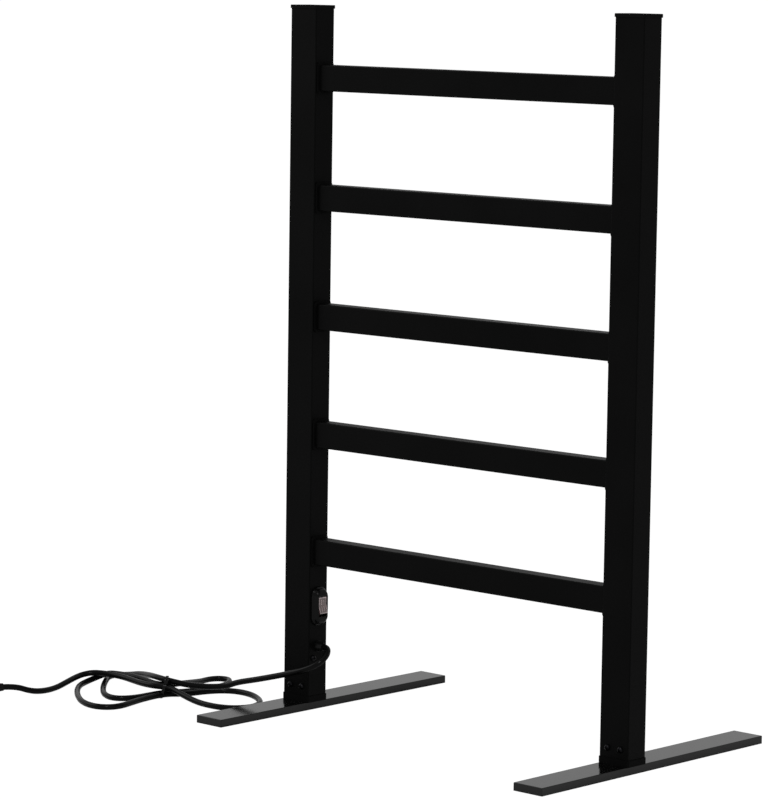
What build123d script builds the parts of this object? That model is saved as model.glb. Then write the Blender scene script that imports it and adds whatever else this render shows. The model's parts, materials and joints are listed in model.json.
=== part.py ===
"""Free-standing heated towel rail.

Two rectangular posts stand on flat feet and carry five heated bars. A rocker switch and the
mains lead are low on the left post, and the lead lies on the floor in a small tied hank.

Millimetres. X runs across the rail, -Y is the front and Z is up from the floor. The origin is
on the floor, midway between the posts and at the middle of the feet's length.
"""
from build123d import *
from math import acos, atan2, copysign, cos, hypot, pi, radians, sin, sqrt, tan
import os

# Posts
post_spacing = 480.0
post_length = 800.0
post_width = 40.0
post_depth = 30.0
post_wall = 1.5
post_corner = 1.2

# Feet
foot_length = 384.0
foot_width = 40.0
foot_thickness = 9.0
foot_edge = 0.8
foot_front_to_post = 158.0
bolt_spacing = 20.0
bolt_shank = 6.0
bolt_head = 12.0
bolt_head_height = 3.4
bolt_reach = 11.0
bolt_recess = 0.4

# Shoes that join the posts to the feet
shoe_rim_height = 7.0
shoe_proud = 1.0
shoe_solid_height = 7.0
shoe_plug_height = 34.0
shoe_wall = 3.0
shoe_screw_above_rim = 11.0
shoe_screw_front_spacing = 18.0
shoe_screw_side_spacing = 14.0

# Small pan-head screws
screw_shank = 3.9
screw_length = 8.0
screw_head = 7.4
screw_head_height = 3.2

# Top caps
cap_rim_height = 4.0
cap_proud = 1.2
cap_plug_height = 13.0
cap_wall = 1.8
cap_rib = 0.5

# Bars
bar_count = 5
top_bar_drop = 79.0
bar_height = 30.0
bar_depth = 20.0
bar_wall = 1.2
bar_corner = 1.5
bar_insert = 12.0

# Collars round the bars at the posts, and grommets in the bars' ends
collar_thickness = 2.0
collar_proud = 1.6
collar_sleeve = 5.0
collar_sleeve_wall = 1.2
grommet_depth = 6.0
grommet_rim = 1.5

# Heating cable and its fittings inside the left post
heating_cable = 4.0
heating_cable_bend = 6.0
heating_cable_end_gap = 30.0
terminal_width = 16.0
terminal_depth = 14.0
terminal_height = 12.0
terminal_gap_below_bar = 12.0
cutout_thickness = 4.0
cutout_width = 10.0
cutout_length = 20.0
cutout_above_bar = 22.0
wire = 2.2
wire_bend = 3.0
wire_run_x = 11.5

# Rocker switch
switch_above_clamp = 26.2
terminal_above_switch = 11.2
switch_cup_length = 29.6
switch_cup_width = 15.8
switch_cup_depth = 22.0
switch_cup_floor = 13.0
switch_opening_length = 22.6
switch_opening_width = 12.6
bezel_length = 43.0
bezel_width = 20.0
bezel_height = 8.4
bezel_corner = 6.0
bezel_draft = 9.0
rocker_pivot_depth = 3.0
rocker_reach = 10.0
rocker_half_length = 9.7
rocker_drop = 1.4
rocker_skirt_half_length = 10.8
rocker_skirt = 2.0
rocker_side_gap = 0.2
rocker_tilt = 8.0
trunnion = 2.4
trunnion_length = 1.3
tab_width = 6.3
tab_thickness = 0.8
tab_length = 7.0
tab_pitch = 8.0

# Mains lead, gland and clamp
cord = 7.0
clamp_above_shoe = 5.0
gland_flange = 13.2
gland_flange_thickness = 2.0
gland_neck = 12.2
gland_neck_length = 5.0
gland_barb = 14.0
gland_barb_thickness = 1.4
gland_nose = 12.4
gland_nose_tip = 9.2
gland_nose_length = 8.0
stub_length = 20.0
clamp_thickness = 9.0
clamp_width = 19.0
clamp_height = 26.0
clamp_gap = 1.0
clamp_screw_drop = 13.5
clamp_screw_forward = 7.5
clamp_screw_length = 9.0

# Tied hank
tie_x = -390.9
tie_y = -117.1
hank_turn = 42.7
strand_gap = 0.8
tie_lift = 1.5
tie_straight = 5.0
fan_radius = 24.0
shoulder = 16.0
hank_end_run = 9.0
lead_end_run = 20.0
tail_aim = (-495.0, -101.6, 3.6)
tie_band = 1.2
tie_width = 4.8
tie_clearance = 0.15
tie_head_height = 4.5
tie_head_width = 6.0
tie_head_proud = 1.6
tie_head_edge = 0.6
tie_end_length = 9.0
tie_end_lean = 12.0

# Plug
plug_length = 38.0
plug_width = 26.0
plug_height = 25.0
plug_edge = 5.0
plug_neck = 13.0
plug_neck_tip = 9.0
plug_neck_length = 22.0
pin_length = 18.0
pin_blade_width = 6.3
pin_blade_thickness = 1.5
pin_blade_spacing = 12.7
pin_earth = 4.8
pin_earth_drop = 10.0
plug_pin_raise = 4.0

# Clearances
slip_fit = 0.1
pivot_clearance = 0.05

# Places worked out from the sizes
post_y = foot_front_to_post - foot_length / 2
post_x = post_spacing / 2
post_bottom = foot_thickness + shoe_rim_height
post_top = post_bottom + post_length
inner_face = post_x - post_width / 2
cavity_width = post_width - 2 * post_wall
cavity_depth = post_depth - 2 * post_wall
cavity_corner = 0.6
gland_height = post_bottom + shoe_plug_height + clamp_above_shoe + clamp_height * 3 / 4
switch_height = gland_height + clamp_height / 4 + switch_above_clamp + switch_cup_length / 2
lowest_bar_height = (switch_height + switch_cup_length / 2 + terminal_above_switch
                     + terminal_height + terminal_gap_below_bar + bar_height / 2)
bar_pitch = (post_top - top_bar_drop - lowest_bar_height) / (bar_count - 1)
bar_heights = [lowest_bar_height + i * bar_pitch for i in range(bar_count)]
bar_length = 2 * (inner_face + bar_insert)
bore_depth = bar_depth - 2 * bar_wall
bore_height = bar_height - 2 * bar_wall
sleeve_depth = bar_depth + 2 * (collar_sleeve_wall + slip_fit)
sleeve_height = bar_height + 2 * (collar_sleeve_wall + slip_fit)
shoe_screw_height = post_bottom + shoe_screw_above_rim
wall_x = -inner_face
sides = (("left", -1), ("right", 1))

os.makedirs("parts", exist_ok=True)


def face_plane(x, y, z, outward):
    """A plane on a post's side face: its local x is Y, and its normal is +X or -X."""
    return Plane(origin=(x, y, z), x_dir=(0, outward, 0), z_dir=(outward, 0, 0))


# Posts: rectangular tube with the holes for the bars, screws, switch and gland
for side, s in sides:
    x = s * post_x
    with BuildPart() as post:
        with BuildSketch(Plane.XY.offset(post_bottom)):
            with Locations((x, post_y)):
                RectangleRounded(post_width, post_depth, post_corner)
                RectangleRounded(cavity_width, cavity_depth, cavity_corner, mode=Mode.SUBTRACT)
        extrude(amount=post_length)
        # Bar holes in the face towards the other post
        with BuildSketch(face_plane(s * inner_face, post_y, 0, -s)):
            with Locations(*[(0, z) for z in bar_heights]):
                Rectangle(sleeve_depth + 2 * slip_fit, sleeve_height + 2 * slip_fit)
        extrude(amount=-2 * post_wall, mode=Mode.SUBTRACT)
        # Shoe screws in the front face
        with BuildSketch(Plane.XZ.offset(post_depth / 2 - post_y)):
            with Locations((x, shoe_screw_height)):
                with GridLocations(shoe_screw_front_spacing, 1, 2, 1):
                    Circle(screw_shank / 2 + slip_fit)
        extrude(amount=-2 * post_wall, mode=Mode.SUBTRACT)
        # Shoe screws in the left-hand face
        with BuildSketch(face_plane(x - post_width / 2, post_y, shoe_screw_height, -1)):
            with GridLocations(shoe_screw_side_spacing, 1, 2, 1):
                Circle(screw_shank / 2 + slip_fit)
        extrude(amount=-2 * post_wall, mode=Mode.SUBTRACT)
        if side == "left":
            with BuildSketch(face_plane(wall_x, post_y, 0, 1)):
                with Locations((0, switch_height)):
                    Rectangle(switch_cup_width + 2 * slip_fit, switch_cup_length + 2 * slip_fit)
                with Locations((0, gland_height)):
                    Circle(gland_neck / 2 + slip_fit)
                with Locations((-clamp_screw_forward, gland_height - clamp_screw_drop)):
                    Circle(screw_shank / 2 + slip_fit)
            extrude(amount=-2 * post_wall, mode=Mode.SUBTRACT)
    post.part.label = f"{side}_post"
    export_step(post.part, f"parts/{side}_post.step")

# Shoes: a rim between foot and post, and a hollow plug inside the post
for side, s in sides:
    x = s * post_x
    with BuildPart() as shoe:
        with BuildSketch(Plane.XY.offset(foot_thickness)):
            with Locations((x, post_y)):
                RectangleRounded(post_width + 2 * shoe_proud, post_depth + 2 * shoe_proud,
                                 post_corner + shoe_proud)
        extrude(amount=shoe_rim_height)
        with BuildSketch(Plane.XY.offset(post_bottom)):
            with Locations((x, post_y)):
                RectangleRounded(cavity_width - 2 * slip_fit, cavity_depth - 2 * slip_fit,
                                 cavity_corner)
        extrude(amount=shoe_plug_height)
        with BuildSketch(Plane.XY.offset(post_bottom + shoe_solid_height)):
            with Locations((x, post_y)):
                Rectangle(cavity_width - 2 * slip_fit - 2 * shoe_wall,
                          cavity_depth - 2 * slip_fit - 2 * shoe_wall)
        extrude(amount=shoe_plug_height, mode=Mode.SUBTRACT)
        # Blind holes for the foot's bolts
        with BuildSketch(Plane.XY.offset(foot_thickness)):
            with Locations((x, post_y)):
                with GridLocations(bolt_spacing, 1, 2, 1):
                    Circle(bolt_shank / 2 + pivot_clearance)
        extrude(amount=bolt_reach + 1, mode=Mode.SUBTRACT)
        # Screw holes in the plug's front and left-hand walls
        with BuildSketch(Plane.XZ.offset(cavity_depth / 2 - post_y)):
            with Locations((x, shoe_screw_height)):
                with GridLocations(shoe_screw_front_spacing, 1, 2, 1):
                    Circle(screw_shank / 2 + pivot_clearance)
        extrude(amount=-shoe_wall - slip_fit, mode=Mode.SUBTRACT)
        with BuildSketch(face_plane(x - cavity_width / 2, post_y, shoe_screw_height, -1)):
            with GridLocations(shoe_screw_side_spacing, 1, 2, 1):
                Circle(screw_shank / 2 + pivot_clearance)
        extrude(amount=-shoe_wall - slip_fit, mode=Mode.SUBTRACT)
    shoe.part.label = f"{side}_shoe"
    export_step(shoe.part, f"parts/{side}_shoe.step")


def pan_screw(plane, length):
    """A pan-head screw seated on the plane, its shank going in against the normal."""
    with BuildSketch(plane) as head:
        Circle(screw_head / 2)
    extrude(head.sketch, amount=screw_head_height)
    with BuildSketch(plane) as shank:
        Circle(screw_shank / 2)
    extrude(shank.sketch, amount=-length)


# Shoe screws: two in the front face and two in the left-hand face of each post
for side, s in sides:
    x = s * post_x
    with BuildPart() as screws:
        for across in (-0.5, 0.5):
            pan_screw(Plane(origin=(x + across * shoe_screw_front_spacing,
                                    post_y - post_depth / 2, shoe_screw_height),
                            x_dir=(1, 0, 0), z_dir=(0, -1, 0)), post_wall + shoe_wall)
            pan_screw(face_plane(x - post_width / 2, post_y + across * shoe_screw_side_spacing,
                                 shoe_screw_height, -1), post_wall + shoe_wall)
        heads = screws.faces().filter_by(GeomType.PLANE).group_by(Axis.X)[0]
        fillet(heads.edges(), screw_head_height * 0.3)
        heads = screws.faces().filter_by(GeomType.PLANE).group_by(Axis.Y)[0]
        fillet(heads.edges(), screw_head_height * 0.3)
    screws.part.label = f"{side}_shoe_screws"
    export_step(screws.part, f"parts/{side}_shoe_screws.step")

# Feet: flat bars with countersunk bolt holes from below
for side, s in sides:
    with BuildPart() as foot:
        with BuildSketch():
            with Locations((s * post_x, 0)):
                Rectangle(foot_width, foot_length)
        extrude(amount=foot_thickness)
        fillet(foot.edges().filter_by(Axis.Z), foot_edge)
        fillet(foot.faces().sort_by(Axis.Z)[-1].edges(), foot_edge)
        with BuildSketch():
            with Locations((s * post_x, post_y)):
                with GridLocations(bolt_spacing, 1, 2, 1):
                    Circle(bolt_shank / 2 + pivot_clearance)
        extrude(amount=foot_thickness, mode=Mode.SUBTRACT)
        for across in (-0.5, 0.5):
            with BuildSketch(Plane.XZ.offset(-post_y)):
                with BuildLine():
                    u = s * post_x + across * bolt_spacing
                    rim = bolt_head / 2 + slip_fit
                    top = bolt_recess + bolt_head_height + slip_fit
                    Polyline((u, 0), (u + rim, 0), (u + rim, bolt_recess),
                             (u + bolt_shank / 2, top), (u, top), close=True)
                make_face()
            revolve(axis=Axis((u, post_y, 0), (0, 0, 1)), mode=Mode.SUBTRACT)
    foot.part.label = f"{side}_foot"
    export_step(foot.part, f"parts/{side}_foot.step")

# Foot bolts: countersunk heads with a hexagon socket
for side, s in sides:
    with BuildPart() as bolts:
        for across in (-0.5, 0.5):
            u = s * post_x + across * bolt_spacing
            with BuildSketch(Plane.XZ.offset(-post_y)):
                with BuildLine():
                    Polyline((u, bolt_recess), (u + bolt_head / 2, bolt_recess),
                             (u + bolt_shank / 2, bolt_recess + bolt_head_height),
                             (u + bolt_shank / 2, foot_thickness + bolt_reach),
                             (u, foot_thickness + bolt_reach), close=True)
                make_face()
            revolve(axis=Axis((u, post_y, 0), (0, 0, 1)))
            with BuildSketch(Plane.XY.offset(bolt_recess)):
                with Locations((u, post_y)):
                    RegularPolygon(bolt_shank / 3, 6)
            extrude(amount=bolt_head_height * 0.7, mode=Mode.SUBTRACT)
    bolts.part.label = f"{side}_foot_bolts"
    export_step(bolts.part, f"parts/{side}_foot_bolts.step")

# Top caps: a rim proud of the post, and a ribbed plug inside it
for side, s in sides:
    x = s * post_x
    with BuildPart() as cap:
        with BuildSketch(Plane.XY.offset(post_top)):
            with Locations((x, post_y)):
                RectangleRounded(post_width + 2 * cap_proud, post_depth + 2 * cap_proud,
                                 post_corner + cap_proud)
        extrude(amount=cap_rim_height)
        fillet(cap.faces().sort_by(Axis.Z)[-1].edges(), cap_proud * 0.7)
        inner_width = cavity_width - 2 * (cap_rib + slip_fit)
        inner_depth = cavity_depth - 2 * (cap_rib + slip_fit)
        with BuildSketch(Plane.XY.offset(post_top - cap_plug_height)):
            with Locations((x, post_y)):
                RectangleRounded(inner_width, inner_depth, cavity_corner)
                for across in (-0.25, 0.25):
                    with Locations((across * cavity_width, 0)):
                        Rectangle(cap_wall, cavity_depth - 2 * slip_fit)
                    with Locations((0, across * cavity_depth)):
                        Rectangle(cavity_width - 2 * slip_fit, cap_wall)
                Rectangle(inner_width - 2 * cap_wall, inner_depth - 2 * cap_wall,
                          mode=Mode.SUBTRACT)
        extrude(amount=cap_plug_height)
    cap.part.label = f"{side}_top_cap"
    export_step(cap.part, f"parts/{side}_top_cap.step")

# Bars: rectangular tubes from post to post
for number, z in enumerate(reversed(bar_heights), start=1):
    with BuildPart() as bar:
        with BuildSketch(Plane(origin=(-bar_length / 2, post_y, z), x_dir=(0, 1, 0),
                               z_dir=(1, 0, 0))):
            RectangleRounded(bar_depth, bar_height, bar_corner)
            RectangleRounded(bore_depth, bore_height, bar_corner - bar_wall / 2,
                             mode=Mode.SUBTRACT)
        extrude(amount=bar_length)
    bar.part.label = f"towel_bar_{number}"
    export_step(bar.part, f"parts/towel_bar_{number}.step")

# Collars: a thin rim on the post's inner face, and a sleeve through its wall round each bar
for side, s in sides:
    with BuildPart() as collars:
        for z in bar_heights:
            with BuildSketch(face_plane(s * inner_face, post_y, z, -s)):
                RectangleRounded(sleeve_depth + 2 * collar_proud,
                                 sleeve_height + 2 * collar_proud, bar_corner + collar_proud)
            extrude(amount=collar_thickness)
            with BuildSketch(face_plane(s * inner_face, post_y, z, -s)):
                Rectangle(sleeve_depth, sleeve_height)
            extrude(amount=-collar_sleeve)
            with BuildSketch(face_plane(s * inner_face, post_y, z, -s).offset(collar_thickness)):
                RectangleRounded(bar_depth + 2 * slip_fit, bar_height + 2 * slip_fit,
                                 bar_corner)
            extrude(amount=-collar_thickness - collar_sleeve, mode=Mode.SUBTRACT)
    collars.part.label = f"{side}_bar_collars"
    export_step(collars.part, f"parts/{side}_bar_collars.step")

# Grommets: soft plugs in the bars' ends that guide the heating cable
for side, s in sides:
    with BuildPart() as grommets:
        for z in bar_heights:
            end = face_plane(s * bar_length / 2, post_y, z, s)
            with BuildSketch(end):
                RectangleRounded(bore_depth - 2 * slip_fit, bore_height - 2 * slip_fit,
                                 bar_corner - bar_wall / 2)
            extrude(amount=-grommet_depth)
            with BuildSketch(end):
                RectangleRounded(bar_depth, bar_height, bar_corner)
            extrude(amount=grommet_rim)
            with BuildSketch(end.offset(grommet_rim)):
                Circle(heating_cable / 2 + slip_fit)
            extrude(amount=-grommet_depth - grommet_rim, mode=Mode.SUBTRACT)
    grommets.part.label = f"{side}_grommets"
    export_step(grommets.part, f"parts/{side}_grommets.step")

# Heating cable: one cable that goes up through the bars in turn and ends in the top one
terminal_top = bar_heights[0] - bar_height / 2 - terminal_gap_below_bar
run = [(-post_x, post_y, terminal_top)]
for i, z in enumerate(bar_heights):
    start, end = (-post_x, post_x) if i % 2 == 0 else (post_x, -post_x)
    if i == bar_count - 1:
        end = (inner_face - heating_cable_end_gap) * (1 if end > 0 else -1)
    run += [(start, post_y, z), (end, post_y, z)]
with BuildPart() as heater:
    with BuildLine() as heater_path:
        FilletPolyline(*run, radius=heating_cable_bend)
    with BuildSketch(Plane(origin=heater_path.line @ 0, z_dir=heater_path.line % 0)):
        Circle(heating_cable / 2)
    sweep(path=heater_path.line)
heater.part.label = "heating_cable"
export_step(heater.part, "parts/heating_cable.step")

# Terminal block below the lowest bar, with its wire holes and screw wells
with BuildPart() as terminal:
    with BuildSketch(Plane.XY.offset(terminal_top - terminal_height)):
        with Locations((-post_x, post_y)):
            RectangleRounded(terminal_width, terminal_depth, 1.0)
    extrude(amount=terminal_height)
    with BuildSketch(Plane.XZ.offset(terminal_depth / 2 - post_y)):
        with Locations((-post_x, terminal_top - terminal_height / 2)):
            with GridLocations(terminal_width / 2, 1, 2, 1):
                Circle(terminal_height / 5)
    extrude(amount=-terminal_depth / 3, mode=Mode.SUBTRACT)
terminal.part.label = "terminal_block"
export_step(terminal.part, "parts/terminal_block.step")

# Thermal cut-out on the left post's outer wall, just above the lowest bar
with BuildPart() as cutout:
    with BuildSketch(face_plane(-post_x - cavity_width / 2, post_y,
                                bar_heights[0] + cutout_above_bar + cutout_length / 2, 1)):
        RectangleRounded(cutout_width, cutout_length, cutout_width * 0.2)
    extrude(amount=cutout_thickness)
    chamfer(cutout.faces().sort_by(Axis.X)[-1].edges(), cutout_thickness * 0.25)
cutout.part.label = "thermal_cutout"
export_step(cutout.part, "parts/thermal_cutout.step")

# Switch cup: pressed into the post's wall, open at the front for the rocker
pivot_x = wall_x - rocker_pivot_depth
with BuildPart() as cup:
    with BuildSketch(face_plane(wall_x, post_y, switch_height, 1)):
        Rectangle(switch_cup_width, switch_cup_length)
    extrude(amount=-switch_cup_depth)
    with BuildSketch(face_plane(wall_x, post_y, switch_height, 1)):
        Rectangle(switch_opening_width, switch_opening_length)
    extrude(amount=-(switch_cup_depth - switch_cup_floor), mode=Mode.SUBTRACT)
    with BuildSketch(Plane.XZ.offset(switch_cup_width / 2 - post_y)):
        with Locations((pivot_x, switch_height)):
            Circle(trunnion / 2 + pivot_clearance)
    extrude(amount=-switch_cup_width, mode=Mode.SUBTRACT)
cup.part.label = "switch_cup"
export_step(cup.part, "parts/switch_cup.step")

# Switch tabs: three blades on the back of the cup
with BuildPart() as tabs:
    with BuildSketch(face_plane(wall_x - switch_cup_depth, post_y, switch_height, -1)):
        with GridLocations(1, tab_pitch, 1, 3):
            Rectangle(tab_width, tab_thickness)
    extrude(amount=tab_length)
tabs.part.label = "switch_tabs"
export_step(tabs.part, "parts/switch_tabs.step")

# Switch bezel: a drafted frame with cut corners that stands off the post
with BuildPart() as bezel:
    with BuildSketch(face_plane(wall_x, post_y, switch_height, 1)) as outline:
        Rectangle(bezel_width, bezel_length)
        chamfer(outline.vertices(), bezel_corner)
    extrude(amount=bezel_height, taper=bezel_draft)
    front_edges = bezel.faces().sort_by(Axis.X)[-1].edges()
    fillet(front_edges, bezel_height * 0.15)
    with BuildSketch(face_plane(wall_x, post_y, switch_height, 1)):
        RectangleRounded(switch_opening_width, switch_opening_length, 0.6)
    extrude(amount=bezel_height, mode=Mode.SUBTRACT)
bezel.part.label = "switch_bezel"
export_step(bezel.part, "parts/switch_bezel.step")

# Rocker: a shallow V on two trunnions, tilted to its off position
rocker_width = switch_opening_width - 2 * rocker_side_gap
rocker_plane = Plane(origin=(pivot_x, post_y, switch_height), z_dir=(0, -1, 0),
                     x_dir=(cos(radians(rocker_tilt)), 0, sin(radians(rocker_tilt))))
with BuildPart() as rocker:
    with BuildSketch(rocker_plane.offset(-rocker_width / 2)):
        with BuildLine():
            Polyline((rocker_reach, 0), (rocker_reach + rocker_drop, rocker_half_length),
                     (0, rocker_skirt_half_length), (-rocker_skirt, rocker_skirt_half_length),
                     (-rocker_skirt, -rocker_skirt_half_length),
                     (0, -rocker_skirt_half_length),
                     (rocker_reach + rocker_drop, -rocker_half_length), close=True)
        make_face()
    extrude(amount=rocker_width)
    with BuildSketch(rocker_plane.offset(-rocker_width / 2 - trunnion_length)):
        Circle(trunnion / 2)
    extrude(amount=rocker_width + 2 * trunnion_length)
rocker.part.label = "switch_rocker"
export_step(rocker.part, "parts/switch_rocker.step")

# Gland: a flanged bush snapped into the post's wall, with a tapered nose for the lead
nose_tip_x = wall_x + gland_flange_thickness + gland_nose_length
with BuildPart() as gland:
    with BuildSketch(Plane.XZ.offset(-post_y)):
        with BuildLine():
            bore = cord / 2 + slip_fit
            inside = wall_x - gland_neck_length
            barb = wall_x - post_wall - slip_fit
            Polyline((inside, gland_height + bore), (inside, gland_height + gland_neck / 2),
                     (barb - gland_barb_thickness, gland_height + gland_barb / 2),
                     (barb, gland_height + gland_barb / 2),
                     (barb, gland_height + gland_neck / 2),
                     (wall_x, gland_height + gland_neck / 2),
                     (wall_x, gland_height + gland_flange / 2),
                     (wall_x + gland_flange_thickness, gland_height + gland_flange / 2),
                     (wall_x + gland_flange_thickness, gland_height + gland_nose / 2),
                     (nose_tip_x, gland_height + gland_nose_tip / 2),
                     (nose_tip_x, gland_height + bore), close=True)
        make_face()
    revolve(axis=Axis((wall_x, post_y, gland_height), (1, 0, 0)))
gland.part.label = "cord_gland"
export_step(gland.part, "parts/cord_gland.step")

# Cord stub: the lead's end inside the gland and the clamp
stub_end = wall_x - stub_length
with BuildPart() as stub:
    with BuildSketch(face_plane(stub_end, post_y, gland_height, 1)):
        Circle(cord / 2)
    extrude(amount=nose_tip_x - stub_end)
stub.part.label = "cord_stub"
export_step(stub.part, "parts/cord_stub.step")

# Cord clamp: a moulded block round the stub, held by one screw through the post's wall
clamp_x = wall_x - gland_neck_length - clamp_gap
with BuildPart() as clamp:
    with BuildSketch(face_plane(clamp_x, post_y, gland_height - clamp_height / 4, -1)):
        with Locations((clamp_screw_forward / 3, 0)):
            RectangleRounded(clamp_width, clamp_height, 2.0)
    extrude(amount=clamp_thickness)
    with BuildSketch(face_plane(clamp_x, post_y, gland_height, -1)):
        Circle(cord / 2 + slip_fit)
        with Locations((clamp_screw_forward, -clamp_screw_drop)):
            Circle(screw_shank / 2 + pivot_clearance)
    extrude(amount=clamp_thickness, mode=Mode.SUBTRACT)
clamp.part.label = "cord_clamp"
export_step(clamp.part, "parts/cord_clamp.step")

with BuildPart() as clamp_screw:
    pan_screw(face_plane(wall_x, post_y - clamp_screw_forward, gland_height - clamp_screw_drop, 1),
              gland_neck_length + clamp_gap + clamp_screw_length)
    fillet(clamp_screw.faces().sort_by(Axis.X)[-1].edges(), screw_head_height * 0.3)
clamp_screw.part.label = "clamp_screw"
export_step(clamp_screw.part, "parts/clamp_screw.step")


def tube(points, bends, diameter):
    """A round tube along straight runs and tangent arcs, from the first point to the last."""
    with BuildLine() as path:
        FilletPolyline(*points, radius=bends)
    with BuildSketch(Plane(origin=path.line @ 0, z_dir=path.line % 0)) as section:
        Circle(diameter / 2)
    sweep(section.sketch, path=path.line)
    return path.wire()


# Inner wires: live to the switch, switch to terminal, and neutral to terminal
tab_end = wall_x - switch_cup_depth - tab_length
riser_x = tab_end - wire_bend - wire
terminal_bottom = terminal_top - terminal_height
with BuildPart() as wires:
    live_y = post_y
    tube([(stub_end, live_y, gland_height), (riser_x, live_y, gland_height),
          (riser_x, live_y, switch_height - tab_pitch),
          (tab_end, live_y, switch_height - tab_pitch)], wire_bend, wire)
    tube([(tab_end, live_y, switch_height), (riser_x, live_y, switch_height),
          (riser_x, live_y, terminal_bottom - 2 * wire_bend),
          (-post_x - terminal_width / 4, live_y, terminal_bottom - 2 * wire_bend),
          (-post_x - terminal_width / 4, live_y, terminal_bottom)], wire_bend - 0.5, wire)
    neutral_y = post_y + wire
    far_y = post_y + wire_run_x
    tube([(stub_end, neutral_y, gland_height), (stub_end - 2 * wire_bend, neutral_y, gland_height),
          (stub_end - 2 * wire_bend, far_y, gland_height + 3 * wire_bend),
          (stub_end - 2 * wire_bend, far_y, terminal_bottom - 3 * wire_bend),
          (-post_x + terminal_width / 4, neutral_y, terminal_bottom - 2 * wire_bend),
          (-post_x + terminal_width / 4, neutral_y, terminal_bottom)], wire_bend - 0.5, wire)
wires.part.label = "inner_wires"
export_step(wires.part, "parts/inner_wires.step")


# The hank's own directions: right runs through the tie, and away leads from the front
right = Vector(cos(radians(hank_turn)), sin(radians(hank_turn)), 0)
away = Vector(-right.Y, right.X, 0)
strand_pitch = cord + strand_gap
floor_strand = cord / 2
low = floor_strand + tie_lift
slots = {
    "low_near": (-strand_pitch / 2, low),
    "low_far": (strand_pitch / 2, low),
    "high_near": (-strand_pitch / 2, low + strand_pitch),
    "high_far": (strand_pitch / 2, low + strand_pitch),
    "top": (0, low + 2 * strand_pitch),
}
# How much later a strand starts to turn where it would run into the one under it
late_exits = {("high_far", -1): 11.0, ("top", 1): 12.0}
# Each loop: its centre from the tie, its half-size along and across its axis, the axis's angle,
# the slots by which it leaves and enters the tie, and its lift at its first side, end and second
# side. A loop turns clockwise, seen from above, or the other way where its half-width is negative.
loops = (
    ((-76, 22), 33, 108, 186, "high_near", "low_far", (0.3, 0, 0)),
    ((78, -26), 40, 49, 0, "low_far", "low_near", (0, 0, 0)),
    ((-51, 32), 25, 58, 174, "low_near", "top", (0, 0.4, 1.5)),
    ((60, 72), 24, -22, 50, "top", "high_far", (0.2, 0, 0.3)),
)


def spot(x, y, z):
    """A point of the hank, from its distances to the right, away and up from the tie."""
    return Vector(tie_x, tie_y, z) + right * x + away * y


def heading(angle):
    """A level direction of the hank, in degrees from right towards away."""
    return right * cos(radians(angle)) + away * sin(radians(angle))


def biarc(start, leaving, end, arriving, share=1.0):
    """Two tangent arcs from start to end; share is the second arc's reach over the first's."""
    chord = end - start
    b = chord.dot(leaving + arriving * share)
    a = 2 * share * (1 - leaving.dot(arriving))
    c = chord.dot(chord)
    reach = c / (2 * b) if a < 1e-9 else (sqrt(b * b + a * c) - b) / a
    corner = start + leaving * reach
    other = end - arriving * (share * reach)
    join = (corner * share + other) * (1 / (1 + share))
    TangentArc(start, join, tangent=leaving)
    TangentArc(join, end, tangent=other - corner)


def tie_exit(slot, side):
    """Where a strand starts to turn beside the tie, on its right side for 1 and its left for -1."""
    y, z = slots[slot]
    return spot(side * (tie_straight + late_exits.get((slot, side), 0)), y, z)


def fan(slot, side, aim):
    """The point and heading at which a strand has turned from the tie to face the place aim."""
    start = tie_exit(slot, side)
    offset_to_aim = aim - start
    reach, drift = side * offset_to_aim.dot(right), offset_to_aim.dot(away)
    rest = fan_radius - abs(drift)
    turn = atan2(reach, rest) - acos(fan_radius / hypot(reach, rest))
    point = (start + right * (side * fan_radius * sin(turn))
             + away * copysign(fan_radius * (1 - cos(turn)), drift))
    slope = (aim.Z - start.Z) / (aim - point).length
    point += Vector(0, 0, slope * fan_radius * turn / 2)
    return point, (aim - point).normalized()


with BuildPart() as hank:
    with BuildLine() as hank_path:
        y, z = slots["high_near"]
        here = spot(tie_straight + hank_end_run, y, z)
        for (x, y), half_length, half_width, turn, leaves, enters, lifts in loops:
            side = 1 if x > 0 else -1
            axis, sideways = heading(turn), heading(turn - copysign(90, half_width))
            first, end, second = (spot(x, y, floor_strand + lift * strand_pitch) for lift in lifts)
            first -= sideways * abs(half_width)
            end += axis * half_length
            second += sideways * abs(half_width)
            # Out of the tie, straight towards the first shoulder, and round it
            corner = first - axis * shoulder
            out, way = fan(leaves, side, corner)
            Line(here, tie_exit(leaves, side))
            biarc(tie_exit(leaves, side), right * side, out, way)
            Line(out, corner - way * shoulder)
            TangentArc(corner - way * shoulder, first, tangent=way)
            # Round the loop's end
            biarc(first, axis, end, sideways)
            biarc(end, sideways, second, -axis)
            # Round the second shoulder, and straight back to the tie
            corner = second - axis * shoulder
            back, way = fan(enters, side, corner)
            TangentArc(second, corner - way * shoulder, tangent=-axis)
            Line(corner - way * shoulder, back)
            here = tie_exit(enters, side)
            biarc(back, -way, here, -right * side)
        # The last strand leaves towards the plug
        tail_start, tail_heading = fan("high_far", -1, Vector(tail_aim))
        Line(here, tie_exit("high_far", -1))
        biarc(tie_exit("high_far", -1), -right, tail_start, tail_heading)
    hank_wire = hank_path.wire()
    with BuildSketch(Plane(origin=hank_wire @ 0, z_dir=hank_wire % 0)):
        Circle(cord / 2)
    sweep(path=hank_wire)
hank.part.label = "cord_hank"
export_step(hank.part, "parts/cord_hank.step")


def least_gap(path, diameter, step=2.0, apart=6.0):
    """The least clear distance between stretches of one tube that aren't neighbours."""
    count = int(path.length / step)
    spots = [path @ (i / count) for i in range(count + 1)]
    skip = int(apart * diameter / step)
    gaps = [((spots[i] - spots[j]).length - diameter, spots[i])
            for i in range(count) for j in range(i + skip, count + 1)]
    return min(gaps, key=lambda pair: pair[0])


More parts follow.
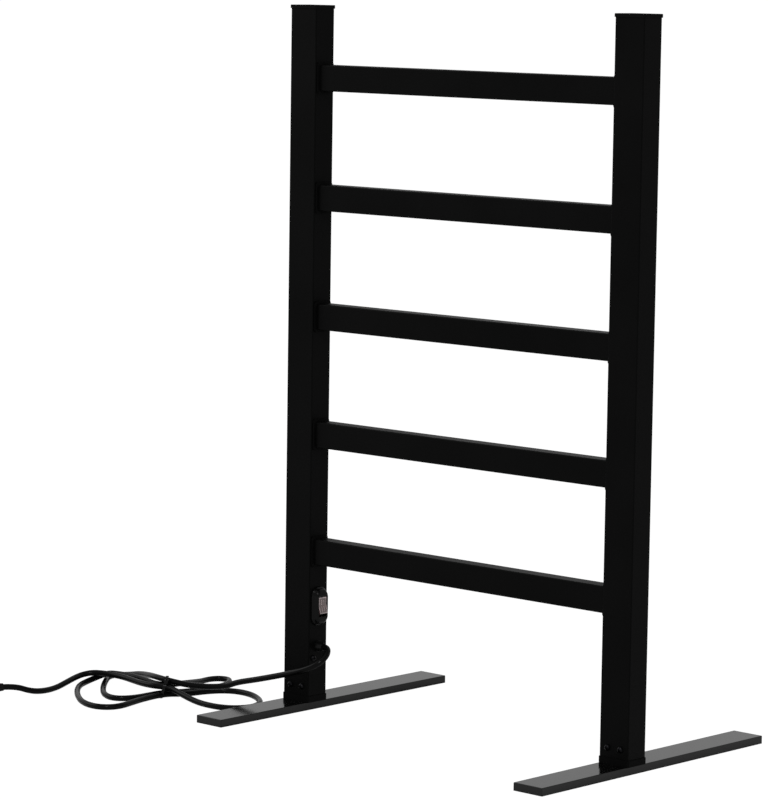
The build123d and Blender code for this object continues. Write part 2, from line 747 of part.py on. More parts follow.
gap, place = least_gap(hank_wire, cord)
print(f"cord_hank: length {hank_wire.length:.0f}, least gap {gap:.2f} near {place}")

# Lead: from the gland, forwards and down past the front of the post, to the hank
lead_route = [
    (nose_tip_x, post_y, gland_height), (nose_tip_x + 7, post_y, gland_height),
    (-195.5, -43, 66), (-199, -57, 57), (-217.5, -64.5, 48.5), (-246, -68.5, 40.5), (-279, -74, 31.5),
    (-308, -79.5, 23), (-337, -86.5, 15.5),
    tuple(spot(tie_straight + hank_end_run + lead_end_run, *slots["high_near"])),
    tuple(hank_wire @ 0),
]
# Tail: from the hank, over its widest loop, and up to the plug's neck
tail_route = [
    tuple(tail_start), tail_aim, (-513.6, -106.5, 7.2), (-522.5, -124.0, 11.8),
    (-516.0, -148.0, 12.4), (-511.1, -166.8, 7.0), (-505.5, -186.1, 3.6), (-502, -208.9, 3.6),
    (-503.6, -227.9, 5.6), (-512.4, -245.0, plug_height / 2), (-519.0, -258.4, plug_height / 2),
]


def corner_radii(route):
    """The bend at each corner of a route: 0.45 of its shorter run over the half turn's tangent."""
    radii = []
    for before, here, after in zip(route, route[1:], route[2:]):
        first, second = Vector(here) - Vector(before), Vector(after) - Vector(here)
        half_turn = radians(first.get_angle(second)) / 2
        radii.append(0.45 * min(first.length, second.length) / tan(half_turn))
    return radii


for label, route in (("cord_lead", lead_route), ("cord_tail", tail_route)):
    bends = corner_radii(route)
    with BuildPart() as stretch:
        line = tube(route, bends, cord)
    stretch.part.label = label
    export_step(stretch.part, f"parts/{label}.step")
    swept = stretch.part.volume / (line.length * pi * cord ** 2 / 4)
    print(f"{label}: length {line.length:.0f}, radii {[round(r) for r in bends]}, volume {swept:.3f}")

# Cable tie: a band round the five strands, its head on top, and its cut end
tie_plane = Plane(origin=(tie_x, tie_y, 0), x_dir=away, z_dir=right)
tie_top = slots["top"][1] + cord / 2 + tie_clearance
with BuildPart() as tie:
    with BuildSketch(tie_plane.offset(-(tie_width + tie_head_proud) / 2)):
        with Locations((0, tie_top + tie_head_height / 2)):
            RectangleRounded(tie_head_width, tie_head_height, tie_head_edge)
    extrude(amount=tie_width + tie_head_proud)
    with BuildSketch(tie_plane.offset(-tie_width / 2)):
        with Locations(Location((0, tie_top + tie_head_height / 2), tie_end_lean)):
            Rectangle(tie_band, tie_end_length, align=(Align.CENTER, Align.MIN))
    extrude(amount=tie_width)
    with BuildSketch(tie_plane.offset(-tie_width / 2)):
        with BuildSketch(mode=Mode.PRIVATE) as strands:
            with Locations(*slots.values()):
                Circle(cord / 2 + tie_clearance)
        make_hull(strands.edges())
        offset(amount=tie_band)
        make_hull(strands.edges(), mode=Mode.SUBTRACT)
    extrude(amount=tie_width)
tie.part.label = "cable_tie"
export_step(tie.part, "parts/cable_tie.step")

# Plug: a moulded body with a tapered neck for the cord, and three pins
plug_end = Vector(tail_route[-1])
plug_axis = (plug_end - Vector(tail_route[-2])).normalized()
neck_plane = Plane(origin=plug_end, x_dir=(-plug_axis.Y, plug_axis.X, 0), z_dir=plug_axis)
with BuildPart() as plug:
    with BuildSketch(neck_plane):
        Circle(plug_neck_tip / 2)
    with BuildSketch(neck_plane.offset(plug_neck_length)):
        Circle(plug_neck / 2)
    loft()
    with BuildSketch(neck_plane.offset(plug_neck_length)):
        RectangleRounded(plug_neck, plug_neck, plug_neck * 0.45)
    with BuildSketch(neck_plane.offset(plug_neck_length + plug_length * 0.35)):
        RectangleRounded(plug_width, plug_height, plug_edge)
    loft()
    with BuildSketch(neck_plane.offset(plug_neck_length + plug_length * 0.35)):
        RectangleRounded(plug_width, plug_height, plug_edge)
    extrude(amount=plug_length * 0.65)
plug.part.label = "plug_body"
export_step(plug.part, "parts/plug_body.step")

with BuildPart() as pins:
    with BuildSketch(neck_plane.offset(plug_neck_length + plug_length)):
        with Locations((0, plug_pin_raise)):
            with GridLocations(pin_blade_spacing, 1, 2, 1):
                Rectangle(pin_blade_thickness, pin_blade_width)
        with Locations((0, plug_pin_raise - pin_earth_drop)):
            Circle(pin_earth / 2)
    extrude(amount=pin_length)
    chamfer(pins.faces().sort_by(Axis(plug_end, plug_axis))[-3:].edges(), pin_blade_thickness * 0.2)
pins.part.label = "plug_pins"
export_step(pins.part, "parts/plug_pins.step")
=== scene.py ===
"""Looks of the free-standing heated towel rail: its finishes, its lead and small details,
the studio floor, the light and the camera, in the rail's own frame: X across the rail, -Y to
the front and Z up from the floor. The pieces made here have their sizes in millimetres, and
the finishes, the floor, the lamps and the camera in metres, as Blender has."""
import bpy
import json
from math import cos, pi, radians, sin
from mathutils import Matrix, Vector


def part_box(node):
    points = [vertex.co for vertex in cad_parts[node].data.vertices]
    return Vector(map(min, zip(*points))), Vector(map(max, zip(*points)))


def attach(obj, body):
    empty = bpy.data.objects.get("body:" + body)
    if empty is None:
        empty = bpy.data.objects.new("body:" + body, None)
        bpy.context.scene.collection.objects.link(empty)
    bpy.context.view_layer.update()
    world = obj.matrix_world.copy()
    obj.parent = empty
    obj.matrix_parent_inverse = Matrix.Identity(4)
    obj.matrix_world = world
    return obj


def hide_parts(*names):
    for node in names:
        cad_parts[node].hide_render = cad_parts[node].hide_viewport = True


MM = 0.001

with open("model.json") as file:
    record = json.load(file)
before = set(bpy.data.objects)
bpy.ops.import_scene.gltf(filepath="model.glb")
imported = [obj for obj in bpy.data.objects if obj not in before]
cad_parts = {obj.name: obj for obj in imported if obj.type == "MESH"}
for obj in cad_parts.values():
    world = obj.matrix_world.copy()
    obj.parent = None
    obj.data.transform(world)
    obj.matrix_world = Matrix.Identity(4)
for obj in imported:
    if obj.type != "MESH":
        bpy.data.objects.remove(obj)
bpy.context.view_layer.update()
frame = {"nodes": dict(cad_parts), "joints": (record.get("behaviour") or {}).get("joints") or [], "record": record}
cad = frame["nodes"]


def corners_of(node):
    """The lowest and highest corners of a solid at rest, in millimetres."""
    low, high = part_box(node)
    return low / MM, high / MM


def middle_of(node):
    """The middle of a solid's box at rest, in millimetres."""
    low, high = corners_of(node)
    return (low + high) / 2


# Finishes

# A noise seldom leaves this range, so a finish changes from its least to its most across it
NOISE_LOW, NOISE_HIGH = 0.3, 0.7
NODE_SPACING = (190, 170)


def node_place(column, row):
    """Where a node lies in its tree's view."""
    return column * NODE_SPACING[0], row * NODE_SPACING[1]


def add_node(tree, kind, place, **inputs):
    """A shader node with its inputs set by their names."""
    node = tree.nodes.new(kind)
    node.location = node_place(*place)
    for name, value in inputs.items():
        node.inputs[name.replace("_", " ")].default_value = value
    return node


def finish(name, colour, roughness, patch=0.08, patch_size=0.11, grain=0.0006, depth=0.00002,
           shade=0.25, stretch=(1, 1, 1), **shader):
    """A finish with broad patches of shade and gloss, and a fine grain in its relief."""
    made = bpy.data.materials.new(name)
    made.use_nodes = True
    tree = made.node_tree
    surface = tree.nodes["Principled BSDF"]
    for socket, value in shader.items():
        surface.inputs[socket.replace("_", " ")].default_value = value
    where = add_node(tree, "ShaderNodeTexCoord", (-6, 0))
    spread = add_node(tree, "ShaderNodeMapping", (-5, 0), Scale=stretch)
    tree.links.new(where.outputs["Object"], spread.inputs["Vector"])
    broad = add_node(tree, "ShaderNodeTexNoise", (-4, 1), Scale=1 / patch_size, Detail=4.0)
    fine = add_node(tree, "ShaderNodeTexNoise", (-4, -1), Scale=1 / grain, Detail=2.0)
    for noise in (broad, fine):
        tree.links.new(spread.outputs["Vector"], noise.inputs["Vector"])
    gloss = add_node(tree, "ShaderNodeMapRange", (-2, 0), From_Min=NOISE_LOW,
                     From_Max=NOISE_HIGH, To_Min=roughness - patch, To_Max=roughness + patch)
    tree.links.new(broad.outputs["Fac"], gloss.inputs["Value"])
    tree.links.new(gloss.outputs["Result"], surface.inputs["Roughness"])
    tone = add_node(tree, "ShaderNodeValToRGB", (-2, 2))
    for stop, position, share in zip(tone.color_ramp.elements, (NOISE_LOW, NOISE_HIGH),
                                     (1 - shade, 1 + shade)):
        stop.position = position
        stop.color = (*[min(1.0, c * share) for c in colour], 1)
    tree.links.new(broad.outputs["Fac"], tone.inputs["Fac"])
    tree.links.new(tone.outputs["Color"], surface.inputs["Base Color"])
    relief = add_node(tree, "ShaderNodeBump", (-1, -1), Strength=1.0, Distance=depth)
    tree.links.new(fine.outputs["Fac"], relief.inputs["Height"])
    tree.links.new(relief.outputs["Normal"], surface.inputs["Normal"])
    return made


powder_coat = finish("satin_powder_coat", (0.0016, 0.0016, 0.0016), 0.42, patch=0.05,
                     grain=0.0009, depth=0.000012, Specular_IOR_Level=0.035)
foot_coat = finish("foot_powder_coat", (0.002, 0.002, 0.002), 0.12, patch=0.03,
                   grain=0.0009, depth=0.000005, Specular_IOR_Level=0.29)
cap_plastic = finish("black_moulded_plastic", (0.0022, 0.0022, 0.0022), 0.62,
                     grain=0.0005, depth=0.00002, Specular_IOR_Level=0.03)
switch_plastic = finish("switch_plastic", (0.002, 0.002, 0.002), 0.09, patch=0.02,
                        grain=0.0008, depth=0.000002, Specular_IOR_Level=0.10)
gland_plastic = finish("gland_nylon", (0.003, 0.003, 0.003), 0.24, patch=0.04,
                       grain=0.0004, depth=0.000006, Specular_IOR_Level=0.12)
black_steel = finish("blackened_steel", (0.010, 0.010, 0.011), 0.32, patch=0.06,
                     grain=0.0003, depth=0.000004, Metallic=1.0)
plated_steel = finish("plated_metal", (0.72, 0.70, 0.66), 0.22, patch=0.06, shade=0.08,
                      grain=0.0003, depth=0.000003, Metallic=1.0)
jacket = finish("cord_jacket", (0.002, 0.002, 0.00205), 0.22, patch=0.05, patch_size=0.04,
                grain=0.0011, depth=0.00001, Specular_IOR_Level=0.08)
nylon = finish("tie_nylon", (0.004, 0.004, 0.004), 0.30, patch=0.04,
               grain=0.0007, depth=0.00001, Specular_IOR_Level=0.12)
silicone = finish("red_silicone", (0.42, 0.12, 0.09), 0.55, grain=0.0006, depth=0.00001)
insulator = finish("pale_insulator", (0.75, 0.73, 0.68), 0.5, shade=0.06,
                   grain=0.0006, depth=0.00001)
wire_cover = finish("wire_cover", (0.12, 0.20, 0.50), 0.35, grain=0.0006, depth=0.00001)
lens = finish("smoked_red_lens", (0.085, 0.052, 0.050), 0.12, patch=0.03, patch_size=0.006,
              shade=0.45, grain=0.002, depth=0.00002, stretch=(1, 1, 0.35),
              Transmission_Weight=0.2, Coat_Weight=1.0, Coat_Roughness=0.05)

FINISH_OF_SLOT = {
    "satin_black_metal": powder_coat, "foot_metal": foot_coat, "black_moulding": cap_plastic,
    "soft_black_moulding": gland_plastic, "blackened_steel": black_steel, "silicone": silicone,
    "pale_insulator": insulator, "wire_cover": wire_cover, "plated_metal": plated_steel,
    "rocker_lens": lens, "tie_nylon": nylon, "cord_jacket": jacket,
}


def dress(piece, material):
    """Gives a whole piece one finish."""
    piece.data.materials.clear()
    piece.data.materials.append(material)


def show(name, data, material):
    """A piece of the scene's own, in one finish."""
    piece = bpy.data.objects.new(name, data)
    bpy.context.scene.collection.objects.link(piece)
    dress(piece, material)
    return piece


def mesh_piece(name, corners, faces, material):
    """A mesh piece, from its corners in millimetres."""
    mesh = bpy.data.meshes.new(name)
    mesh.from_pydata([corner * MM for corner in corners], [], faces)
    return show(name, mesh, material)


def block_faces(first=0, flip=False):
    """The six faces of a block from its eight corners: four round one end, then the other."""
    sides = [(3, 2, 1, 0), (4, 5, 6, 7)]
    sides += [(n, (n + 1) % 4, (n + 1) % 4 + 4, n + 4) for n in range(4)]
    return [[first + n for n in (reversed(side) if flip else side)] for side in sides]


for part in frame["record"]["subparts"]:
    dress(cad[part["node"]], FINISH_OF_SLOT[part["material_slot"]])
for node in ("switch_bezel", "switch_cup"):
    dress(cad[node], switch_plastic)


# The lead: its route from the gland, its tied loops and its tail, in millimetres

CORD = 7.0
# The tie's middle on the floor, and the turn, in degrees, from X to the hank's own right
TIE = (-390.9, -117.1)
HANK_TURN = 42.7
RIGHT = Vector((cos(radians(HANK_TURN)), sin(radians(HANK_TURN)), 0))
AWAY = Vector((-RIGHT.y, RIGHT.x, 0))


def spot(x, y, z):
    """A point of the hank, from its distances to the right, away and up from the tie."""
    return Vector((*TIE, z)) + RIGHT * x + AWAY * y


# The cord's control points from the gland's tip to the plug: first in the rail's frame, then in
# the hank's own directions (right, away and up from the tie), then in the rail's frame again
LEAD_ROUTE = [
    (-210, -34, 74.5), (-203, -34, 74.5), (-197, -42, 67), (-199, -55, 58), (-215, -63, 49.5),
    (-246, -68.5, 40.5), (-279, -74, 31.5), (-308, -79.5, 24.5),
]
HANK_ROUTE = [
    # In over the large right-hand loop, through the tie and round the inner left-hand loop
    (74, -22, 18.3), (50, -15, 15.8), (28, -7, 16.2), (12, -2, 18.6), (0, 2, 20.8),
    (-9, 14, 20.8), (-17, 34, 18.8), (-26, 58, 15.4), (-36, 82, 11.4), (-45, 99, 7.2),
    (-52.5, 109, 4.8), (-62, 113, 3.8), (-70.5, 108, 3.5), (-74.5, 97, 3.5), (-75.5, 79, 3.5),
    (-76, 52, 3.5), (-75, 24, 3.5), (-72, -3, 3.5), (-64, -23, 3.5), (-53, -30, 3.5),
    (-41, -28, 3.5), (-29, -20, 3.5), (-18, -9, 3.6), (-8, 0, 4),
    # Under the tie, round the small right-hand loop
    (3, 5.5, 4.4), (16, 11, 4), (30, 20, 3.5), (45, 31, 3.5), (59, 44, 3.5), (70, 61, 3.5),
    (74, 80, 3.5), (72, 94, 3.5), (61, 100, 3.5), (49, 95, 3.5), (40, 79, 4), (32, 60, 6.5),
    (24, 37, 10), (15, 19, 12.4), (6, 8, 13.2),
    # Through the tie, round the outer left-hand loop
    (-4, 6.5, 13.5), (-14, 14, 13.6), (-23, 29, 13.8), (-33, 46, 13.4), (-46, 63, 12.6),
    (-60, 75, 12.2), (-73.5, 81, 12), (-86, 80.5, 7), (-97, 70, 3.8), (-103.5, 51, 3.5),
    (-105.5, 28, 3.5), (-104, 1, 3.5), (-100, -26, 3.5), (-94, -51, 3.5), (-84, -70, 3.5),
    (-71, -81, 3.5), (-56, -81, 3.5), (-45, -71, 3.5), (-36, -54, 3.5), (-27, -37, 3.5),
    (-17, -22, 3.6), (-6, -11, 4.2),
    # Under the tie, round the large right-hand loop
    (6, -4, 4.6), (20, 0, 3.8), (34, 9, 3.5), (50, 20, 3.5), (68, 26, 3.5), (86, 22, 3.5),
    (102, 6, 3.5), (112, -18, 3.5), (116, -45, 3.5), (109, -66, 3.5), (95, -76, 3.5),
    (78, -77, 3.5), (60, -67, 3.5), (42, -50, 4.2), (25, -31, 8), (11, -13, 12.2),
    # Through the tie towards the plug
    (-3, -4.5, 13.3), (-14, -1, 13.6), (-27, 12, 13.4), (-39, 32, 12.8), (-51, 50, 12.9),
    (-65, 63.5, 13.2), (-79, 71.5, 13.6), (-92, 76, 13.2), (-104, 72, 11.3), (-112, 60, 9.6),
    (-120, 44, 7.4),
]
TAIL_ROUTE = [
    (-505.5, -186.1, 3.7), (-502, -208.9, 3.5), (-503.6, -227.9, 5.6), (-512.4, -245, 12.5),
    (-519, -258.4, 12.5),
]


def cord_curve(name, points, diameter, material):
    """A round cord on one smooth spline; the points are in millimetres."""
    curve = bpy.data.curves.new(name, "CURVE")
    curve.dimensions = "3D"
    spline = curve.splines.new("NURBS")
    spline.points.add(len(points) - 1)
    for control, place in zip(spline.points, points):
        control.co = (*(Vector(place) * MM), 1)
    spline.order_u = 3
    spline.use_endpoint_u = True
    spline.resolution_u = 8
    curve.bevel_depth = diameter / 2 * MM
    curve.bevel_resolution = 5
    curve.use_fill_caps = True
    return show(name, curve, material)


lead = cord_curve("mains_lead", LEAD_ROUTE + [spot(*place) for place in HANK_ROUTE]
                  + TAIL_ROUTE, CORD, jacket)
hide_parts("cord_lead", "cord_hank", "cord_tail")
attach(lead, "frame")


# The tie round the strands, with its lock at the front and its short cut end. A strand's place,
# and the middle of a block, are distances away and up from the tie's middle on the floor

STRANDS = ((2.6, 20.0), (7.2, 13.4), (-6.0, 13.6), (4.2, 4.9), (-7.0, 4.5))
STRAP_WIDTH = 3.6
STRAP_GAP = 0.5
STRAP_THICKNESS = 1.0
STRAP_STEPS = 48
# How far the strap leans to the right for each unit of height
TIE_LEAN = 0.28
# Distance to the right, middle and sizes (right, away, up)
LOCK_BLOCK = (2.2, (-8.2, 20.0), (4.6, 4.2, 4.6))
CUT_END = (3.4, (-8.2, 23.4), (2.4, 1.0, 3.0))


def leaning_block(across, middle, size, lean):
    """The corners of a leaning block, in the hank's directions."""
    corners = []
    for k in (-0.5, 0.5):
        for i, j in ((-0.5, -0.5), (0.5, -0.5), (0.5, 0.5), (-0.5, 0.5)):
            corners.append(spot(across + i * size[0] + lean * k * size[2],
                                middle[0] + j * size[1], middle[1] + k * size[2]))
    return corners


def hank_tie():
    """A strap round the strands' outline, and the lock and cut end on it."""
    # Each side's gap from the cord, and the least height at which it stays off the floor
    inner, outer = (STRAP_GAP, 0.7), (STRAP_GAP + STRAP_THICKNESS, 0.05)
    corners, faces = [], []
    for step in range(STRAP_STEPS):
        angle = 2 * pi * step / STRAP_STEPS
        out = (cos(angle), sin(angle))
        strand = max(STRANDS, key=lambda place: place[0] * out[0] + place[1] * out[1])
        for side, (gap, floor) in ((-1, inner), (1, inner), (1, outer), (-1, outer)):
            reach = CORD / 2 + gap
            height = max(floor, strand[1] + reach * out[1])
            across = side * STRAP_WIDTH / 2 + TIE_LEAN * (height - STRANDS[1][1])
            corners.append(spot(across, strand[0] + reach * out[0], height))
    for step in range(STRAP_STEPS):
        here, there = 4 * step, 4 * ((step + 1) % STRAP_STEPS)
        faces += [(here + n, there + n, there + (n + 1) % 4, here + (n + 1) % 4)
                  for n in range(4)]
    for shape, lean in ((LOCK_BLOCK, TIE_LEAN), (CUT_END, 2 * TIE_LEAN)):
        faces += block_faces(len(corners))
        corners += leaning_block(*shape, lean)
    tie = mesh_piece("hank_tie", corners, faces, nylon)
    tie.data.validate()
    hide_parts("cable_tie")
    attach(tie, "frame")


hank_tie()


# Pan-head screws: two in front and two at the left of each post's lower end, and the clamp's

SCREW_SIZES = {"Head Diameter": 7.4, "Head Height": 3.2, "Recess Length": 3.8,
               "Recess Width": 1.0, "Shank Diameter": 3.9, "Shank Length": 3.0}


def screw_tree(material):
    """A node tree that puts a domed, cross-recessed screw on each point."""
    tree = bpy.data.node_groups.new("pan_screws", "GeometryNodeTree")
    tree.interface.new_socket("Geometry", in_out="INPUT", socket_type="NodeSocketGeometry")
    for label in SCREW_SIZES:
        tree.interface.new_socket(label, in_out="INPUT", socket_type="NodeSocketFloat")
    tree.interface.new_socket("Geometry", in_out="OUTPUT", socket_type="NodeSocketGeometry")
    given = tree.nodes.new("NodeGroupInput").outputs

    def link(value, socket):
        if isinstance(value, (int, float, tuple)):
            socket.default_value = value
        else:
            tree.links.new(value, socket)

    def triple(x, y, z):
        node = tree.nodes.new("ShaderNodeCombineXYZ")
        for value, socket in zip((x, y, z), node.inputs):
            link(value, socket)
        return node.outputs[0]

    def times(value, factor):
        node = tree.nodes.new("ShaderNodeMath")
        node.operation = "MULTIPLY"
        link(value, node.inputs[0])
        link(factor, node.inputs[1])
        return node.outputs[0]

    def placed(shape, scale, move):
        node = tree.nodes.new("GeometryNodeTransform")
        link(shape, node.inputs["Geometry"])
        link(scale, node.inputs["Scale"])
        link(move, node.inputs["Translation"])
        return node.outputs["Geometry"]

    def combined(operation, meshes, body=None):
        node = tree.nodes.new("GeometryNodeMeshBoolean")
        node.operation = operation
        if body:
            link(body, node.inputs["Mesh 1"])
        for mesh in meshes:
            link(mesh, node.inputs["Mesh 2"])
        return node.outputs["Mesh"]

    width, height = given["Head Diameter"], given["Head Height"]
    ball = tree.nodes.new("GeometryNodeMeshUVSphere")
    ball.inputs["Segments"].default_value = 32
    ball.inputs["Rings"].default_value = 16
    ball.inputs["Radius"].default_value = 0.5
    box = tree.nodes.new("GeometryNodeMeshCube").outputs["Mesh"]
    dome = placed(ball.outputs["Mesh"], triple(width, width, times(height, 2)), (0, 0, 0))
    top = triple(0, 0, height)
    upper = placed(box, triple(times(width, 2), times(width, 2), times(height, 2)), top)
    head = combined("INTERSECT", [dome, upper])
    long, thin = given["Recess Length"], given["Recess Width"]
    slots = [placed(box, triple(x, y, height), top) for x, y in ((long, thin), (thin, long))]
    head = combined("DIFFERENCE", slots, body=head)
    rod = tree.nodes.new("GeometryNodeMeshCylinder")
    rod.inputs["Vertices"].default_value = 16
    rod.inputs["Radius"].default_value = 0.5
    rod.inputs["Depth"].default_value = 1.0
    shank = placed(rod.outputs["Mesh"],
                   triple(given["Shank Diameter"], given["Shank Diameter"],
                          given["Shank Length"]),
                   triple(0, 0, times(given["Shank Length"], -0.5)))
    whole = tree.nodes.new("GeometryNodeJoinGeometry")
    link(head, whole.inputs[0])
    link(shank, whole.inputs[0])
    facing = tree.nodes.new("GeometryNodeInputNamedAttribute")
    facing.data_type = "FLOAT_VECTOR"
    facing.inputs["Name"].default_value = "turned"
    turn = tree.nodes.new("FunctionNodeEulerToRotation")
    link(facing.outputs["Attribute"], turn.inputs[0])
    spread = tree.nodes.new("GeometryNodeInstanceOnPoints")
    link(given["Geometry"], spread.inputs["Points"])
    link(whole.outputs[0], spread.inputs["Instance"])
    link(turn.outputs[0], spread.inputs["Rotation"])
    real = tree.nodes.new("GeometryNodeRealizeInstances")
    link(spread.outputs[0], real.inputs[0])
    coat = tree.nodes.new("GeometryNodeSetMaterial")
    coat.inputs["Material"].default_value = material
    link(real.outputs[0], coat.inputs["Geometry"])
    link(coat.outputs[0], tree.nodes.new("NodeGroupOutput").inputs[0])
    return tree


def pan_screws(places):
    """One mesh of all the screws, from the points and turns where they sit."""
    points = bpy.data.meshes.new("screw_points")
    points.from_pydata([Vector(place) * MM for place, turn in places], [], [])
    turned = points.attributes.new("turned", "FLOAT_VECTOR", "POINT")
    for item, (place, turn) in zip(turned.data, places):
        item.vector = turn
    seats = bpy.data.objects.new("screw_seats", points)
    bpy.context.scene.collection.objects.link(seats)
    tree = screw_tree(black_steel)
    grow = seats.modifiers.new("screws", "NODES")
    grow.node_group = tree
    for item in tree.interface.items_tree:
        if item.in_out == "INPUT" and item.name in SCREW_SIZES:
            grow[item.identifier] = SCREW_SIZES[item.name] * MM
    view = seats.evaluated_get(bpy.context.evaluated_depsgraph_get())
    mesh = bpy.data.meshes.new_from_object(view)
    seats.modifiers.clear()
    bpy.data.objects.remove(seats)
    screws = show("pan_screws", mesh, black_steel)
    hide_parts("left_shoe_screws", "right_shoe_screws", "clamp_screw")
    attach(screws, "frame")


# Turns of an upright screw, and how far a pair's screws sit from the middle of their wall
FORWARD, LEFTWARD, RIGHTWARD = (pi / 2, 0, 0), (0, -pi / 2, 0), (0, pi / 2, 0)
FRONT_SPREAD = 9.0
SIDE_SPREAD = 7.0


def screw_places():
    """Where each screw sits on its post's wall, and the turn that it has there."""
    wall = corners_of("left_post")[1].x
    clamp = middle_of("clamp_screw")
    places = [((wall, clamp.y, clamp.z), RIGHTWARD)]
    for side in ("left", "right"):
        low, middle = corners_of(side + "_post")[0], middle_of(side + "_post")
        height = middle_of(side + "_shoe_screws").z
        places += [((middle.x + x, low.y, height), FORWARD)
                   for x in (-FRONT_SPREAD, FRONT_SPREAD)]
        places += [((low.x, middle.y + y, height), LEFTWARD)
                   for y in (-SIDE_SPREAD, SIDE_SPREAD)]
    return places


pan_screws(screw_places())


# The switch's frame, round at its ends: each ring's width, height, corner radius and distance
# from the post's wall, over the low rim and the raised face and into the rocker's opening

FRAME_RINGS = (
    (23.6, 45.6, 9.8, 0.0), (23.6, 45.6, 9.8, 1.0), (23.2, 45.2, 9.6, 1.8),
    (22.2, 44.2, 9.1, 2.5), (20.8, 42.8, 8.4, 2.8), (19.6, 41.8, 7.9, 3.4),
    (19.0, 41.0, 7.6, 5.0), (18.2, 39.6, 7.0, 6.3), (17.2, 36.6, 6.0, 7.3),
    (16.4, 33.0, 5.0, 8.0), (15.6, 28.6, 3.6, 8.3), (14.8, 26.2, 2.4, 8.4),
    (14.0, 24.8, 1.6, 8.2), (13.0, 23.2, 0.9, 7.4), (12.6, 22.6, 0.7, 6.4),
    (12.6, 22.6, 0.7, 0.0),
)
CORNER_STEPS = 8


def frame_ring(middle, width, height, radius, distance):
    """Points round a rectangle with round corners, parallel to the post's wall."""
    ring = []
    for corner, (i, j) in enumerate(((1, 1), (-1, 1), (-1, -1), (1, -1))):
        for step in range(CORNER_STEPS + 1):
            angle = radians(90 * (corner + step / CORNER_STEPS))
            y = i * (width / 2 - radius) + radius * cos(angle)
            z = j * (height / 2 - radius) + radius * sin(angle)
            ring.append(middle + Vector((distance, y, z)))
    return ring


def switch_frame():
    """The frame's skin from ring to ring, closed from the last one back to the first."""
    middle = middle_of("switch_bezel")
    middle.x = corners_of("switch_bezel")[0].x
    rings = [frame_ring(middle, *ring) for ring in FRAME_RINGS]
    count = len(rings[0])
    faces = []
    for number in range(len(rings)):
        here, there = number * count, (number + 1) % len(rings) * count
        for n in range(count):
            faces.append((here + n, here + (n + 1) % count,
                          there + (n + 1) % count, there + n))
    piece = mesh_piece("switch_frame", sum(rings, []), faces, switch_plastic)
    piece.data.shade_smooth()
    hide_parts("switch_bezel")
    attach(piece, "frame")


switch_frame()


# The rocker's painted highlights: lighter strips round its border and along two ribs, which paint
# the bright edge lines and streaks that light puts on its face. The two halves of its face meet
# in a shallow dip, at this reach from its pin, and stand further out by the drop at their ends,
# a half length away

ROCKER_REACH = 10.0
ROCKER_DROP = 1.4
ROCKER_HALF_LENGTH = 9.7
# A strip's near and far ends along its half of the face, and its left and right edges
BORDER_HIGHLIGHT_STRIPS = ((0.1, 9.5, -6.05, -5.2), (0.1, 9.5, 5.2, 6.05), (8.3, 9.5, -5.2, 5.2))
RIB_HIGHLIGHT_STRIPS = tuple((1.0, 7.2, middle - 0.3, middle + 0.3) for middle in (-1.8, 1.8))
STRIP_SINK = 0.2
STRIP_RISE = 0.3

# A finish much lighter than the lens, which paints the rocker's highlights: a painted highlight, not a clear part
rocker_highlight_paint = finish("rocker_highlight_paint", (0.34, 0.27, 0.27), 0.10, patch=0.03, patch_size=0.004,
                      shade=0.5, grain=0.002, depth=0.00001, Coat_Weight=1.0,
                      Coat_Roughness=0.04)


def rocker_painted_highlights():
    """Thin lighter strips on the rocker's face, which paint its highlights, tilted as it rests, at half of its
    travel.
    """
    tilt = next(joint for joint in frame["joints"] if joint["name"] == "rocker_tilt")
    pin, rest = Vector(tilt["pos_m"]) / MM, radians(tilt["range_deg"][1] / 2)
    out, up = Vector((cos(rest), 0, sin(rest))), Vector((-sin(rest), 0, cos(rest)))
    leftward = Vector((0, -1, 0))
    corners, faces = [], []
    for half in (1, -1):
        along = (out * ROCKER_DROP + up * ROCKER_HALF_LENGTH * half).normalized()
        normal = (out * ROCKER_HALF_LENGTH - up * ROCKER_DROP * half).normalized()
        for near, far, left, right in BORDER_HIGHLIGHT_STRIPS + RIB_HIGHLIGHT_STRIPS:
            faces += block_faces(len(corners), flip=half < 0)
            for height in (-STRIP_SINK, STRIP_RISE):
                for u, v in ((near, left), (far, left), (far, right), (near, right)):
                    corners.append(pin + out * ROCKER_REACH + along * u + leftward * v
                                   + normal * height)
    # The strips' lighter finish paints highlights on the rocker
    highlight_strips = mesh_piece("rocker_painted_highlights", corners, faces, rocker_highlight_paint)
    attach(highlight_strips, "rocker")


rocker_painted_highlights()


# Floor, light and camera

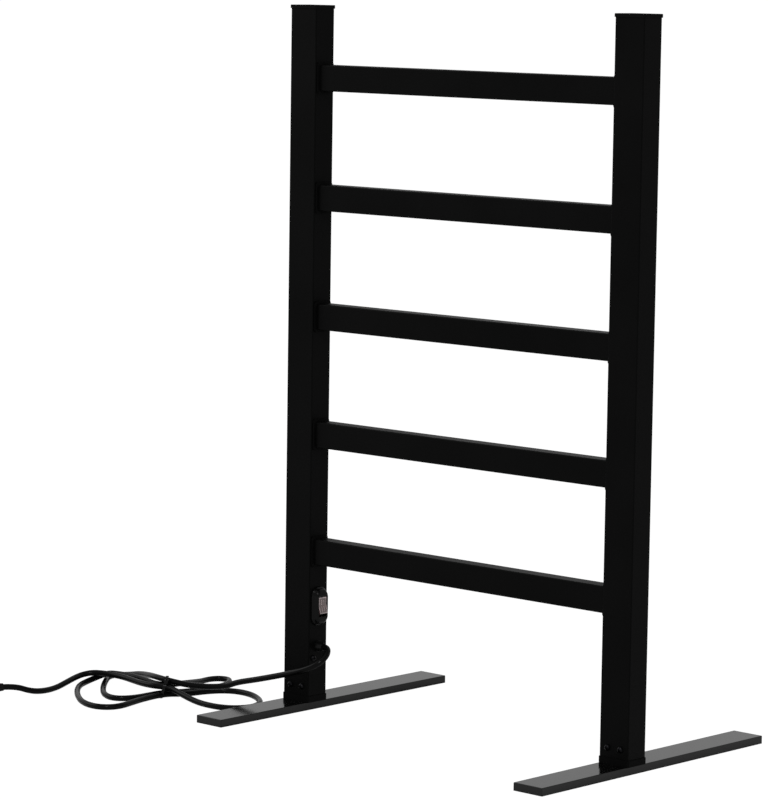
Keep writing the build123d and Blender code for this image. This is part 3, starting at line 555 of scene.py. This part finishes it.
def studio_floor(size=300.0, glow_share=0.88):
    """A white floor that keeps a faint shadow under the rail: to the camera, and through clear
    pieces, most of it glows."""
    mesh = bpy.data.meshes.new("floor")
    half = size / 2
    mesh.from_pydata([(-half, -half, 0), (half, -half, 0), (half, half, 0), (-half, half, 0)],
                     [], [(0, 1, 2, 3)])
    paper = bpy.data.materials.new("white_paper")
    paper.use_nodes = True
    tree = paper.node_tree
    tree.nodes.clear()
    rays = add_node(tree, "ShaderNodeLightPath", (-4, 2))
    seen = add_node(tree, "ShaderNodeMath", (-3, 2))
    seen.operation = "MAXIMUM"
    tree.links.new(rays.outputs["Is Camera Ray"], seen.inputs[0])
    tree.links.new(rays.outputs["Is Transmission Ray"], seen.inputs[1])
    matt = add_node(tree, "ShaderNodeBsdfDiffuse", (-2, 0), Color=(0.8, 0.8, 0.8, 1))
    glow = add_node(tree, "ShaderNodeEmission", (-2, 1), Color=(1, 1, 1, 1), Strength=1.10)
    share = add_node(tree, "ShaderNodeMath", (-1, 2))
    share.operation = "MULTIPLY"
    share.inputs[1].default_value = glow_share
    tree.links.new(seen.outputs[0], share.inputs[0])
    blend = add_node(tree, "ShaderNodeMixShader", (0, 1))
    tree.links.new(share.outputs[0], blend.inputs[0])
    tree.links.new(matt.outputs[0], blend.inputs[1])
    tree.links.new(glow.outputs[0], blend.inputs[2])
    out = add_node(tree, "ShaderNodeOutputMaterial", (1, 1))
    tree.links.new(blend.outputs[0], out.inputs["Surface"])
    show("floor", mesh, paper)


# The point that the lamps face
AIM = Vector((0, 0, 0.4))


def studio_light():
    """A soft white surround, brighter to the camera than on the rail, and two soft lamps."""
    world = bpy.data.worlds.new("studio")
    bpy.context.scene.world = world
    world.use_nodes = True
    tree = world.node_tree
    back = tree.nodes["Background"]
    back.inputs["Color"].default_value = (1, 1, 1, 1)
    rays = add_node(tree, "ShaderNodeLightPath", (-4, 0))
    level = add_node(tree, "ShaderNodeMapRange", (-2, 0), To_Min=0.6, To_Max=1.0)
    tree.links.new(rays.outputs["Is Camera Ray"], level.inputs["Value"])
    tree.links.new(level.outputs["Result"], back.inputs["Strength"])
    for name, place, size, power in (("key", (1.6, -2.2, 2.6), 0.8, 42.0),
                                     ("fill", (-2.4, -1.2, 1.8), 1.8, 18.0)):
        lamp = bpy.data.lights.new(name, "AREA")
        lamp.size = size
        lamp.energy = power
        holder = bpy.data.objects.new(name, lamp)
        bpy.context.scene.collection.objects.link(holder)
        holder.location = place
        holder.rotation_euler = (AIM - holder.location).to_track_quat("-Z", "Y").to_euler()


def studio_camera():
    """The camera at the picture's viewing angle; the angles are in radians."""
    azimuth, elevation, roll = 0.74473, 0.1196, 0.01443
    eye = (2.70811, -3.10121, 0.87485)
    focal_pixels, frame_height = 3679.56, 800
    ahead = Vector((-sin(azimuth) * cos(elevation), cos(azimuth) * cos(elevation),
                    -sin(elevation)))
    across = Vector((cos(azimuth), sin(azimuth), 0))
    above = across.cross(ahead)
    right = across * cos(roll) + above * sin(roll)
    up = above * cos(roll) - across * sin(roll)
    camera = bpy.data.cameras.new("camera")
    camera.sensor_width = 36
    camera.lens = focal_pixels / frame_height * camera.sensor_width
    camera.clip_end = 500
    holder = bpy.data.objects.new("camera", camera)
    bpy.context.scene.collection.objects.link(holder)
    axes = Matrix((right, up, -ahead)).transposed()
    holder.matrix_world = Matrix.Translation(eye) @ axes.to_4x4()
    bpy.context.scene.camera = holder


studio_floor()
studio_light()
studio_camera()
bpy.context.scene.view_settings.view_transform = "Standard"
